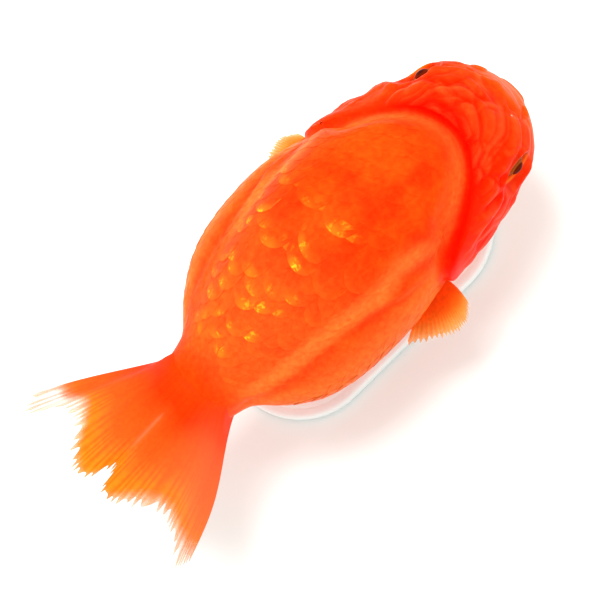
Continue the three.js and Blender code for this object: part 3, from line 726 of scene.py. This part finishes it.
coats = {side: {"points": [], "gold": [], "edge": [], "pocket": [], "unwrap": []} for side in SIDES}
ring_number = 0
station = SCALE_FIRST_STATION
while station < SCALE_LAST_STATION:
    count = next(number for limit, number in SCALES_AROUND if station < limit)
    for k in range(count):
        angle = 2 * np.pi * (k + (ring_number % 2) / 2 + 0.25) / count
        jitter = rng.normal(size=5)
        luck = rng.random()
        radius = float(coat_radius(np.array(station), np.array(angle)))
        middle = station + 0.5 * SCALE_LENGTH
        if ahead_of_nape(middle, radius * np.cos(angle), radius * np.sin(angle)) > -0.8:
            continue
        size = 1 - 0.25 * smoothstep(80, 104, station)
        length = SCALE_LENGTH * size * (1 + 0.04 * jitter[0])
        half_turn = np.pi / count * SCALE_FILL
        on_back = smoothstep(0.45, 0.85, np.sin(angle))
        region = smoothstep(38, 56, station) * smoothstep(102, 90, station) * (0.12 + 0.88 * on_back)
        on_flank = smoothstep(0.25, -0.1, np.sin(angle)) * smoothstep(46, 60, station)
        plainness = 0.04 + 0.36 * region * luck**3 + 0.3 * on_flank
        u = grid_u + 0.05 * jitter[1] * grid_v
        along = station + length * (grid_v * scale_reach + 0.06 * jitter[2] * grid_u)
        around = angle + half_turn * u
        top = coat_point(along, around)
        out = normals_of(coat_point, along, around)
        lift = (SCALE_SLOPE + LOOSE_SLOPE * plainness) * grid_v**0.9 - SCALE_SUNK
        lift += 0.10 * plainness * (1 - grid_u**2) * grid_v + 0.03 * grid_u * (0.3 + 0.7 * grid_v)
        lift += plainness * (0.05 * jitter[3] + 0.05 * jitter[4] * grid_u) * grid_v
        tuck = ahead_of_nape(along, top[:, 1] - row_value(SWAY_ROWS, 1, along), top[:, 2] - spine_z)
        lift -= 1.3 * smoothstep(-1.4, 0.6, tuck) + 1.0 * smoothstep(95, 103, along)
        upper = top + out * lift[:, None]
        lower = top + out * (lift - SCALE_THICKNESS)[:, None]
        coat = coats["left" if np.cos(angle) > 0 else "right"]
        coat["points"] += [upper, lower]
        on_top = np.sin(angle) > 0.74 and np.cos(angle) > -0.36
        # Some scales on the mid back get a painted glint in a patch near their rim.
        glint = luck > GLINT_LUCK and GLINT_START < station < GLINT_END and on_top
        gold = (0.25 + 0.75 * rng.random() ** 1.3) if glint else 0
        from_rim = np.minimum(1 - grid_v, (1 - np.abs(grid_u)) * 1.6)
        part = bell(grid_u, 0.8 * rng.random() - 0.5, 0.3 + 0.3 * rng.random()) * (1 - grid_u**4)
        coat["gold"].append(np.tile(gold * part * smoothstep(0.46, 0.14, from_rim), 2))
        # A painted highlight along each scale's free rim, strongest on the plainest scales.
        edge = plainness * smoothstep(0.4, 0.05, from_rim) * (1 - grid_u**2)
        coat["edge"].append(np.tile(edge, 2))
        pocket = (0.15 * region + on_flank) * smoothstep(0.05, 0.3, from_rim)
        coat["pocket"].append(np.tile(pocket, 2))
        root_u = (station - SCALE_FIRST_STATION) / (SCALE_LAST_STATION - SCALE_FIRST_STATION + 3)
        root_v = ((angle + np.pi / 2) % np.pi) / np.pi * 0.9 + 0.005
        across_patch = root_v + PATCH_WIDTH * (grid_u + 1) / 2
        coat["unwrap"] += [
            np.stack([root_u + PATCH_LENGTH * grid_v, across_patch], 1),
            np.stack([root_u + PATCH_LENGTH + UNDERSIDE_STRIP * (1 + grid_v), across_patch], 1)]
    ring_number += 1
    station += SCALE_RING_STEP * (1 - 0.25 * smoothstep(80, 100, station))


add, finish = new_material("scale_orange")
tone, coordinates = flesh_colour(add)
# Pale scale rims: painted highlight.
tone = stain(add, tone, "edge", 0.6, (255, 112, 30))
tone = stain(add, tone, "pocket", 0.55, (250, 66, 6))
# Painted glints: a gold tone and yellow speckles where the glint field calls for them.
speckle = noise(add, coordinates, 1300.0, 2.0, 0.46, 0.6)
patch = noise(add, coordinates, 420.0, 1.0, 0.5, 0.6)
glint_speckle = times(add, times(add, field_value(add, "gold"), patch), speckle)
tone = stain(add, tone, "gold", 0.9, (255, 118, 22))
tone = blend(add, glint_speckle, tone, colour(255, 192, 38))
growth_lines = noise(add, coordinates, 3000.0, 2.0)
scale_material = finish(add(
    "BsdfPrincipled", Base_Color=tone, Roughness=0.34, Specular_IOR_Level=0.01,
    Specular_Tint=(1, 0.5, 0.2, 1), Subsurface_Weight=0.2, Subsurface_Scale=0.002,
    Subsurface_Radius=FLESH_SCATTER, Normal=bumps(add, growth_lines, 0.2, 0.0002)))

for side, coat in coats.items():
    coat_points = np.vstack(coat["points"])
    starts = 2 * len(grid_u) * np.arange(len(coat["gold"]))[:, None, None]
    coat_faces = (starts + scale_faces).reshape(-1, 4).tolist()
    scales = new_piece("scales_" + side, coat_points, coat_faces, scale_material, crisp=50)
    flesh_fields(scales, coat_points)
    for name in ("gold", "edge", "pocket"):
        add_field(scales, name, np.concatenate(coat[name]))
    unwrap = scales.data.uv_layers.new(name="OFBake")
    corner_points = np.empty(len(scales.data.loops), np.int32)
    scales.data.loops.foreach_get("vertex_index", corner_points)
    point_uv = np.vstack(coat["unwrap"]).astype(np.float32)
    unwrap.data.foreach_set("uv", point_uv[corner_points].ravel())
    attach(scales, "root")

# ---- Eyes ---------------------------------------------------------------------------------------
# Each eye is a glazed ball: a round dark lens stands out of a bronze iris. It sits in its socket,
# turned outwards, a little up and forwards, and the skin's rim closes round it.
BALL_RADIUS = EYE_RADIUS - 0.12
LENS_ANGLE, IRIS_ANGLE = 28, 62
IRIS_DEPTH = 0.4
LENS_BULGE = 0.45
EYE_AROUND = 96


def capped(rings, ends=None):
    """Points and faces of rings of points, with a fan about a point over each end."""
    around = len(rings[0])
    if ends is None:
        ends = [rings[0].mean(axis=0), rings[-1].mean(axis=0)]
    points = np.vstack([*rings, *ends])
    last = (len(rings) - 1) * around
    faces = ring_faces(0, around, len(rings))
    for k in range(around):
        after = (k + 1) % around
        faces += [(len(points) - 2, k, after), (len(points) - 1, last + after, last + k)]
    return points, [tuple(reversed(face)) for face in faces]


add, finish = new_material("eye_iris_and_lens")
off_axis = field_value(add, "off_axis")
round_iris = add("CombineXYZ", X=field_value(add, "fibre_x"), Y=field_value(add, "fibre_y"),
                 Z=times(add, off_axis, 0.02)).outputs[0]
fibres = noise(add, round_iris, 14.0, 3.0, 0.35, 0.65)
iris = blend(add, fibres, colour(112, 42, 10), colour(176, 82, 26))
towards_rim = spread(add, off_axis, LENS_ANGLE + 10.0, IRIS_ANGLE - 6.0)
iris = blend(add, towards_rim, iris, colour(176, 74, 22))
ring = spread(add, off_axis, LENS_ANGLE + 1.0, LENS_ANGLE + 5.0, 1.0, 0.0, soft=True)
iris = blend(add, ring, iris, colour(170, 84, 26))
off_middle = spread(add, off_axis, 6.0, 22.0, soft=True)
lens_tone = blend(add, off_middle, colour(60, 14, 4), colour(104, 25, 5))
off_lens = spread(add, off_axis, LENS_ANGLE - 1.5, LENS_ANGLE + 0.5, soft=True)
iris = blend(add, off_lens, lens_tone, iris)
beyond = spread(add, off_axis, IRIS_ANGLE - 3.0, IRIS_ANGLE + 3.0, soft=True)
iris = blend(add, beyond, iris, colour(190, 74, 20))
eye_material = finish(add("BsdfPrincipled", Base_Color=iris, Metallic=0.15, Roughness=0.15,
                          Specular_IOR_Level=0.01, Specular_Tint=(0.6, 0.3, 0.15, 1)))

angles = np.concatenate([np.linspace(2, IRIS_ANGLE, 40), np.linspace(IRIS_ANGLE + 3, 178, 30)])
sunk = IRIS_DEPTH * smoothstep(IRIS_ANGLE + 4, LENS_ANGLE + 4, angles)
lens = LENS_BULGE * np.sqrt(np.clip(1 - (angles / LENS_ANGLE) ** 2, 0, 1))
radii = BALL_RADIUS - sunk + lens
off = np.radians(angles)[:, None, None]
turn = np.arange(EYE_AROUND)[:, None] / EYE_AROUND * 2 * np.pi
for side in SIDES:
    axis = eye_axis(side)
    across = np.cross(axis, [0, 0, 1])
    across /= np.linalg.norm(across)
    circle = np.cos(turn) * across + np.sin(turn) * np.cross(across, axis)
    outwards = np.cos(off) * axis + np.sin(off) * circle
    poles = [eye_centre(side) + axis * radii[0], eye_centre(side) - axis * radii[-1]]
    rings = eye_centre(side) + outwards * radii[:, None, None]
    ball = new_piece("eye_" + side + "_ball", *capped(rings, poles), eye_material)
    add_field(ball, "off_axis", np.append(np.repeat(angles, EYE_AROUND), [0, 180]))
    add_field(ball, "fibre_x", np.append(np.tile(np.cos(turn).ravel(), len(angles)), [1, 1]))
    add_field(ball, "fibre_y", np.append(np.tile(np.sin(turn).ravel(), len(angles)), [0, 0]))
    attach(ball, "root")
    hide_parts("eye_" + side)

# ---- Tail fin -----------------------------------------------------------------------------------
# A double fan of thin skin over branching rays. Its halves join in a ridge on the midline and each
# ends in an upper and a lower lobe. The flesh thins to a clear, ragged fringe at the margin.
TAIL_RAYS = 11
PLEATS, PLEAT_HEIGHT = 3.5, 0.25
LEFT_BEND, RIGHT_BEND, TAIL_ARCH = 1.2, 3.0, 1.5
FILLET_WIDTH, FILLET_DEPTH, FILLET_SOFTNESS = 2.6, 1.2, 0.9
TAIL_MARGINS = {  # spots from the midline over the upper lobe, fork and lower lobe to the leading edge
    "left": [(131.5, 0, 55), (138.8, 3.8, 56), (136.8, 9.5, 54.5), (131, 15.5, 51.5),
             (131.5, 21.3, 48.5), (139.5, 27.6, 45.5), (134.8, 30.2, 44)],
    "right": [(131.5, 0, 55), (138.3, 3.2, 56), (134.8, 9, 54.5), (130.5, 15.5, 51.5),
              (133.5, 21.5, 48.5), (138, 26.8, 45.5), (135, 27.6, 44)]}
# How far out the flesh is half clear, for places across the tail.
TAIL_CLEAR = [(-1, 0.86), (-0.83, 0.8), (-0.67, 0.86), (-0.5, 0.87), (-0.33, 0.88), (-0.17, 0.94),
              (0, 0.97), (0.17, 0.96), (0.33, 0.93), (0.5, 0.88), (0.67, 0.78), (0.83, 0.67), (1, 0.76)]


def curve_through(spots, amount):
    """Points of a smooth curve through a few spots, followed from 0 to 1."""
    rows = [(index, *spot) for index, spot in enumerate(spots)]
    along = amount * (len(spots) - 1)
    return np.stack([row_value(rows, column, along) for column in (1, 2, 3)], -1)


def spot_at(station, left, height):
    return np.stack(np.broadcast_arrays(station, left, height), -1).astype(float)


def ray_crest(phase, outwards):
    """How near a spot is to a fin ray, from 0 to 1. Each ray forks twice on its way out."""
    first_fork = 0.25 * smoothstep(0.25, 0.6, outwards)
    second_fork = 0.09 * smoothstep(0.72, 0.98, outwards)
    off_twig = np.abs(np.abs(np.abs(np.mod(phase, 1) - 0.5) - first_fork) - second_fork)
    return np.exp(-((off_twig / (0.16 - 0.06 * outwards)) ** 2))


def fin_piece(name, blade_at, phase_at, clear_at, across, grid, thickness, teeth, material, fillet=None):
    """A closed thin fin. blade_at gives its middle sheet from a place across and outwards, and
    thickness says how thick its root and its edge are, and how high its rays stand."""
    count_across, count_out = grid
    u = np.linspace(across[0], across[1], count_across)[:, None]
    v = np.linspace(0, 1, count_out)[None, :] ** 0.85
    u, v = np.broadcast_arrays(u, v)
    phase = phase_at(u)
    whole_rays = int(np.ceil(phase.max())) + 2
    raggedness = np.interp(phase[:, 0], np.arange(whole_rays * 4) / 4, rng.random(whole_rays * 4))
    tooth = teeth * (0.6 * (1 - ray_crest(phase[:, 0], 0.62)) + 0.4 * raggedness)
    outwards = v * (1 - tooth[:, None])

    def sheet(u, outwards):
        spot = blade_at(u, outwards)
        return in_frame(spot[..., 0], spot[..., 1], spot[..., 2] - SPINE_ABOVE_BASE)

    middle = sheet(u, outwards)
    normal = np.cross(sheet(u + 0.01, outwards) - sheet(u - 0.01, outwards),
                      sheet(u, outwards + 0.01) - sheet(u, outwards - 0.01))
    normal /= np.linalg.norm(normal, axis=-1, keepdims=True)
    crest = ray_crest(phase, outwards)
    root, edge, ray_height = thickness
    half = edge + root * (1 - outwards) ** 4 + ray_height * crest * smoothstep(0.1, 0.9, outwards)
    half = (half * (1 - 0.6 * smoothstep(0.85, 1.0, v)))[..., None]
    upper, lower = middle + normal * half, middle - normal * half
    if fillet is not None:
        upper = fillet(upper, u, outwards)
    points = np.concatenate([upper.reshape(-1, 3), lower.reshape(-1, 3)])
    faces = sheet_faces(count_across, count_out)[:, ::-1].tolist()
    piece = new_piece(name, points, faces, material, crisp=50)
    add_field(piece, "outwards", np.tile(outwards.ravel(), 2))
    add_field(piece, "ray", np.tile(crest.ravel(), 2))
    add_field(piece, "past_clear", np.tile((outwards - clear_at(u)).ravel(), 2))
    # A painted highlight along the midline ridge, and a paler right lobe.
    ridge = bell(u, 0, 0.03) * smoothstep(0.3, 0.4, outwards) * smoothstep(0.78, 0.6, outwards)
    right_lobe = smoothstep(-0.2, -0.75, u) * smoothstep(0.95, 0.7, outwards)
    right_lobe = right_lobe * (0.15 + 0.65 * smoothstep(0.02, 0.35, outwards))
    add_field(piece, "paler", np.tile(np.maximum(ridge, right_lobe).ravel(), 2))
    return piece


def fin_material(name, fringe, tones, see_through):
    """Fin skin: fleshy at the root, then yellower over its rays, and clear at the fringe."""
    add, finish = new_material(name)
    coordinates = add("TexCoord").outputs["Object"]
    outwards = field_value(add, "outwards")
    ray = field_value(add, "ray")
    drift = noise(add, coordinates, 160.0, 3.0, 0.0, 1.0, -0.06, 0.06)
    place_out = add("Math", i0=outwards, i1=drift).outputs[0]
    ramp = add("ValToRGB", Fac=place_out)
    stops = ramp.color_ramp.elements
    stops[0].position, stops[0].color = tones[0]
    stops[1].position, stops[1].color = tones[-1]
    for position, tone in tones[1:-1]:
        stops.new(position).color = tone
    streak = spread(add, outwards, 0.58, 0.92, 0.02, 0.85)
    gap = add("Math", {"operation": "SUBTRACT"}, i0=1.0, i1=ray).outputs[0]
    tone = blend(add, times(add, gap, streak), ramp.outputs[0], tones[-1][1])
    mottle = noise(add, coordinates, 900.0, 4.0, 0.35, 0.7, 0.9, 1.08)
    tone = blend(add, 1.0, tone, mottle, "MULTIPLY")
    # Painted highlight on the midline ridge, and the right lobe's paler tone.
    tone = stain(add, tone, "paler", 0.5, (255, 132, 84))
    fine = noise(add, coordinates, 2600.0, 2.0)
    flesh = add("BsdfPrincipled", Base_Color=tone, Roughness=0.45, Specular_IOR_Level=0.04,
                Specular_Tint=(1, 0.5, 0.2, 1), Normal=bumps(add, fine, 0.2, 0.0001)).outputs[0]
    glow = add("BsdfTranslucent", Color=tone).outputs[0]
    body = add("MixShader", Fac=0.3, i1=flesh, i2=glow).outputs[0]
    past = add("Math", i0=field_value(add, "past_clear"), i1=drift).outputs[0]
    fade = spread(add, past, -fringe, fringe, soft=True)
    held = spread(add, ray, 0.0, 1.0, see_through, see_through * 0.6)
    clear = add("BsdfTransparent").outputs[0]
    return finish(add("MixShader", Fac=times(add, fade, held), i1=body, i2=clear))


def tail_blade(across, outwards):
    """Both halves: across runs from -1, the right leading edge, over the midline to 1, the left."""
    side = np.where(across < 0, -1.0, 1.0)
    u = np.abs(across)
    turn = np.minimum(u, 1) * np.pi / 2
    root = spot_at(103.5 - 2 * u, 7.4 * np.sin(turn), 46 + 10 * np.cos(turn))
    margin = np.where(across[..., None] < 0, curve_through(TAIL_MARGINS["right"], np.minimum(u, 1.0)),
                      curve_through(TAIL_MARGINS["left"], np.minimum(u, 1.0)))
    along = np.clip(outwards, 0, 1)
    pleat = PLEAT_HEIGHT * np.sin(2 * np.pi * PLEATS * u + 0.6 * side)
    pleat *= smoothstep(0.2, 1, outwards) * smoothstep(0, 0.2, u)
    bend = np.sin(np.pi * along)
    sideways = np.where(across < 0, RIGHT_BEND * bend**1.4, LEFT_BEND * bend)
    bow = spot_at(0, sideways * u, TAIL_ARCH * np.sin(np.pi * along**0.8) + pleat)
    blade = root + (margin - root) * outwards[..., None] + bow
    blade[..., 1] *= side
    return blade


tail_tones = [(0.0, colour(254, 60, 4)), (0.2, colour(254, 52, 3)), (0.42, colour(254, 84, 20)),
              (0.7, colour(254, 100, 30)), (0.86, colour(254, 120, 18)), (1.0, colour(254, 152, 34))]
tail_material = fin_material("tail_skin", 0.1, tail_tones, 0.93)


def stalk_fillet(upper, across, outwards):
    """Raises the fan's upper side near its root, so that the stalk's flesh runs out on to it."""
    station = snout_x - upper[..., 0]
    left = upper[..., 1] - row_value(SWAY_ROWS, 1, station)
    top = row_value(TRUNK_ROWS, 1, station) - SPINE_ABOVE_BASE
    reach = row_value(TRUNK_ROWS, 3, station) + FILLET_WIDTH
    over_stalk = spine_z + top * (1 - np.abs(left / reach) ** 2.6)
    over_stalk -= FILLET_DEPTH * smoothstep(0.08, 0, outwards)
    gain = FILLET_SOFTNESS * np.logaddexp(0, (over_stalk - upper[..., 2]) / FILLET_SOFTNESS)
    gain *= smoothstep(1.0, 0.8, np.abs(across)) * smoothstep(124, 114, station)
    return upper + gain[..., None] * np.array([0, 0, 1])


def tail_phase(across):
    u = np.abs(across)
    return u * TAIL_RAYS + 0.16 * np.sin(23 * u + across) + 0.1 * np.sin(51 * u - 2 * across) + 0.2


tail = fin_piece("tail_fin", tail_blade, tail_phase, lambda u: row_value(TAIL_CLEAR, 1, u),
                 across=(-1, 1), grid=(520, 70), thickness=(2.2, 0.13, 0.07), teeth=0.11,
                 material=tail_material, fillet=stalk_fillet)
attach(tail, "root")
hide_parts("tail_fin_left", "tail_fin_right")

# ---- Paired fins --------------------------------------------------------------------------------
# Small soft fans: the pectorals behind the gill covers, the pelvics under the belly and the twin
# anal fins before the tail. Each is skin over ten or so rays, rooted in the body, with a ragged edge.
PAIRED_FINS = {  # root at 0 and at 1, margin spots, bow, rays
    "pectoral_fin": (((43, 20.5, 38.5), (50, 20.5, 36.5)),
                     [(43, 30.5, 36.5), (47, 33.3, 35.5), (52.5, 32, 34.5), (61, 26.5, 34)],
                     (-0.7, 0, 1.2), 11),
    "pelvic_fin": (((49, 9, 27.5), (52, 6, 27)),
                   [(57, 19, 23.5), (63, 19.5, 22), (67, 16, 21.5), (67, 11, 22.5)], (0, 0, -1.3), 9),
    "anal_fin": (((87, 1.8, 36), (95, 2.3, 41.5)),
                 [(96, 5, 29.5), (103, 6.5, 30.5), (105.5, 5.8, 34), (102, 4.2, 38.5)], (0, 0.6, 0), 8)}
PAIRED_CLEAR = 0.88

paired_tones = [(0.0, colour(254, 78, 10)), (0.45, colour(254, 96, 16)), (0.7, colour(254, 124, 30)),
                (1.0, colour(254, 184, 90))]
paired_material = fin_material("paired_fin_skin", 0.16, paired_tones, 0.75)

for name, (root_ends, margin_spots, bow, rays) in PAIRED_FINS.items():
    for side, sign in SIDES.items():
        def blade(across, outwards):
            root = np.array(root_ends[0]) + (np.array(root_ends[1]) - root_ends[0]) * across[..., None]
            margin = curve_through(margin_spots, np.clip(across, 0, 1))
            lift = np.sin(np.pi * np.clip(outwards, 0, 1))[..., None] * np.array(bow)
            spot = root + (margin - root) * outwards[..., None] + lift
            spot[..., 1] *= sign
            return spot

        fin = fin_piece(name + "_" + side + "_web", blade, lambda u: u * rays,
                        lambda u: PAIRED_CLEAR + 0 * u, across=(0, 1), grid=(150, 44),
                        thickness=(0.65, 0.12, 0.09), teeth=0.12, material=paired_material)
        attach(fin, "root")
        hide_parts(name + "_" + side)

# ---- Stand --------------------------------------------------------------------------------------
# A cast base with round ends, lacquered matt white over a fine grain, stands on a felt pad. Two
# steel rods screw into it by a collar, and each ends in a soft clear-grey pad under the belly.
PLATE_PROFILE = [  # inset from the outline, height
    (1.0, 0.7), (0.35, 0.7), (0.1, 0.85), (0, 1.15), (0, 3.9), (0.09, 4.3), (0.33, 4.65), (0.68, 4.9),
    (1.1, 5.0), (2.3, 5.0), (2.45, 4.9), (2.6, 4.87), (2.75, 4.9), (2.9, 5.0), (3.4, 5.0)]
FELT_PROFILE = [(1.3, 0), (1.1, 0.08), (1.0, 0.3), (1.0, 0.72)]
COLLAR_PROFILE = [  # distance from the rod's axis, height over the base
    (3.6, -0.02), (4.05, 0.05), (4.2, 0.25), (4.2, 0.95), (4.1, 1.15), (3.85, 1.28), (3.0, 1.32),
    (2.75, 1.42), (2.7, 1.7), (2.55, 1.85), (2.05, 1.9)]
ROD_PAD_RADIUS, ROD_PAD_HEIGHT, ROD_PAD_SEAT = 2.7, 1.1, 0.6
PLATE_AROUND, ROD_AROUND = 256, 96

plate_low, plate_high = (np.array(corner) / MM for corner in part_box("stand_base"))
plate_middle = (plate_low + plate_high) / 2
plate_size = plate_high - plate_low


def plate_ring(inset, height):
    turn = (np.arange(PLATE_AROUND) + 0.5) / PLATE_AROUND * 2 * np.pi
    radius = plate_size[1] / 2 - inset
    straight = (plate_size[0] - plate_size[1]) / 2
    x = plate_middle[0] + straight * np.sign(np.cos(turn)) + radius * np.cos(turn)
    y = plate_middle[1] + radius * np.sin(turn)
    return np.stack([x, y, np.full(PLATE_AROUND, plate_low[2] + height)], 1)


add, finish = new_material("white_lacquer")
coordinates = add("TexCoord").outputs["Object"]
cloud = noise(add, coordinates, 60.0, 4.0, 0.35, 0.65)
tone = blend(add, cloud, (0.86, 0.86, 0.85, 1), (0.92, 0.92, 0.91, 1))
peel = noise(add, coordinates, 1400.0, 3.0)
lacquer = finish(add("BsdfPrincipled", Base_Color=tone, Specular_IOR_Level=0.4,
                     Roughness=spread(add, peel, 0.0, 1.0, 0.42, 0.58),
                     Normal=bumps(add, peel, 0.35, 0.0002)))

add, finish = new_material("grey_felt")
coordinates = add("TexCoord").outputs["Object"]
fibre = add("TexNoise", Vector=coordinates, Scale=2200.0, Detail=6.0, Distortion=1.5).outputs["Fac"]
fibre = spread(add, fibre, 0.3, 0.7)
tone = blend(add, fibre, colour(74, 76, 80), colour(128, 130, 134))
felt = finish(add("BsdfPrincipled", Base_Color=tone, Roughness=0.95, Specular_IOR_Level=0.1,
                  Normal=bumps(add, fibre, 0.8, 0.0003)))

plate = new_piece("stand_plate", *capped([plate_ring(*spot) for spot in PLATE_PROFILE]), lacquer,
                  crisp=35)
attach(plate, "root")
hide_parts("stand_base")
pad = new_piece("stand_felt", *capped([plate_ring(*spot) for spot in FELT_PROFILE]), felt, crisp=35)
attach(pad, "root")

add, finish = new_material("brushed_steel")
coordinates = add("TexCoord").outputs["Object"]
stretched = add("Mapping", Vector=coordinates, Scale=(120, 120, 9000)).outputs[0]
scratches = noise(add, stretched, 1.0, 4.0)
tone = blend(add, scratches, (0.42, 0.42, 0.43, 1), (0.66, 0.66, 0.67, 1))
steel = finish(add("BsdfPrincipled", Base_Color=tone, Metallic=1.0,
                   Roughness=spread(add, scratches, 0.0, 1.0, 0.22, 0.42),
                   Normal=bumps(add, scratches, 0.15, 0.00005)))

add, finish = new_material("soft_pad")
coordinates = add("TexCoord").outputs["Object"]
cloud = noise(add, coordinates, 900.0, 3.0)
tone = blend(add, cloud, colour(150, 152, 154), colour(196, 198, 200))
rubber = finish(add("BsdfPrincipled", Base_Color=tone, Roughness=0.5, Specular_IOR_Level=0.3,
                    Normal=bumps(add, cloud, 0.2, 0.0001)))

for end in ("front", "back"):
    low, high = (np.array(corner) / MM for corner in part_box("stand_rod_" + end))
    axis_x, axis_y = (low[:2] + high[:2]) / 2
    rod_radius = (high[0] - low[0]) / 2
    turn = np.arange(ROD_AROUND) / ROD_AROUND * 2 * np.pi

    def rod_ring(radius, height):
        return np.stack([axis_x + radius * np.cos(turn), axis_y + radius * np.sin(turn),
                         np.full(ROD_AROUND, height)], 1)

    top = high[2] - ROD_PAD_SEAT
    profile = [(radius, plate_high[2] + up) for radius, up in COLLAR_PROFILE]
    profile += [(rod_radius, plate_high[2] + 1.95), (rod_radius, top - 0.2)]
    rod = new_piece("stand_rod_" + end + "_steel", *capped([rod_ring(*spot) for spot in profile]),
                    steel, crisp=35)
    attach(rod, "root")
    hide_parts("stand_rod_" + end)
    cup = [(ROD_PAD_RADIUS - 0.5, top - ROD_PAD_HEIGHT), (ROD_PAD_RADIUS - 0.15, top - 0.95),
           (ROD_PAD_RADIUS, top - 0.7), (ROD_PAD_RADIUS, top + 1.2)]
    tip = new_piece("stand_rod_" + end + "_pad", *capped([rod_ring(*spot) for spot in cup]), rubber,
                    crisp=35)
    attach(tip, "root")
